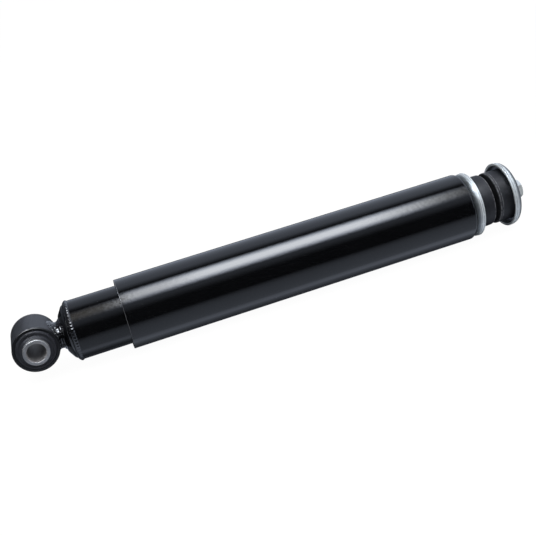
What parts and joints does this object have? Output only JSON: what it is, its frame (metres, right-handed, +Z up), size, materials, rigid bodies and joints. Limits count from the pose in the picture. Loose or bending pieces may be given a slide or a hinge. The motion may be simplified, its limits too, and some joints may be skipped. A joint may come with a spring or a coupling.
{
  "type": "shock absorber",
  "caption": "Twin-tube hydraulic damper for a heavy vehicle: bushed eye at one end, stud with rubber bushes, cup washers and nut at the other; the rod slides and turns.",
  "frame": {"origin": "centre of the eye's bore", "axes": "+X along the damper axis from the eye to the stud, +Y along the eye's bore, +Z up with the damper lying down"},
  "size_m": [0.6501, 0.0834, 0.0834],
  "materials": {
    "black_paint": "gloss black paint",
    "rubber": "matt moulded",
    "zinc_plate": "bright zinc plate, slightly blue",
    "machined_steel": "machined, satin",
    "chromed_rod": "hard chrome, ground and polished",
    "sintered_iron": "sintered, fine pores",
    "spring_steel": "blued spring steel",
    "slide_band": "bronze-filled low-friction polymer",
    "bearing_bronze": "bearing bronze",
    "guide_casting": "sintered, turned faces",
    "bumper_polymer": "hard elastomer"
  },
  "bodies": {
    "cylinder": {"eye_ring": "black_paint", "eye_bush": "rubber", "eye_weld": "black_paint", "base_cap": "black_paint", "base_seam_weld": "black_paint", "reservoir_tube": "black_paint", "pressure_tube": "machined_steel", "foot_valve_body": "sintered_iron", "foot_valve_pin": "machined_steel", "foot_valve_shims": "spring_steel", "foot_distance_sleeve": "machined_steel", "foot_stop_washer": "machined_steel", "foot_valve_nut": "zinc_plate", "rod_guide": "guide_casting", "guide_bush": "bearing_bronze", "guide_ring_seal": "rubber", "rod_seal": "rubber", "seal_garter_spring": "spring_steel", "seal_retainer": "machined_steel"},
    "eye_sleeve": {"eye_sleeve": "machined_steel"},
    "foot_check": {"foot_check_disc": "spring_steel", "foot_star_spring": "spring_steel"},
    "band": {"piston_band": "slide_band"},
    "rod": {"piston": "sintered_iron", "piston_shims": "spring_steel", "piston_support_washer": "machined_steel", "piston_nut": "zinc_plate", "piston_distance_sleeve": "machined_steel", "piston_stop_washer": "machined_steel", "piston_rod": "chromed_rod", "rebound_stop_ring": "machined_steel", "rebound_bumper": "bumper_polymer", "dust_tube": "black_paint", "dust_cap": "black_paint", "lower_cup_washer": "zinc_plate", "lower_bush": "rubber", "spacer_sleeve": "zinc_plate", "upper_bush": "rubber", "upper_cup_washer": "zinc_plate", "plain_washer": "zinc_plate", "stud_nut": "zinc_plate"},
    "piston_check": {"piston_check_disc": "spring_steel", "piston_star_spring": "spring_steel"}
  },
  "joints": [
    {"name": "rod_slide", "type": "slide", "parent": "cylinder", "child": "band", "axis": [1, 0, 0], "range_m": [-0.03, 0.28]},
    {"name": "rod_turn", "type": "hinge", "parent": "band", "child": "rod", "pos_m": [0.13, 0, 0], "axis": [1, 0, 0], "continuous": true},
    {"name": "eye_twist", "type": "hinge", "parent": "cylinder", "child": "eye_sleeve", "pos_m": [0, 0, 0], "axis": [0, 1, 0], "range_deg": [-12, 12], "stiffness_Nm_per_rad": 40},
    {"name": "foot_check_lift", "type": "slide", "parent": "cylinder", "child": "foot_check", "axis": [1, 0, 0], "range_m": [0, 0.001], "stiffness_N_per_m": 1500, "springref_m": -0.0005},
    {"name": "piston_check_lift", "type": "slide", "parent": "rod", "child": "piston_check", "axis": [1, 0, 0], "range_m": [0, 0.001], "stiffness_N_per_m": 1500, "springref_m": -0.0005}
  ]
}
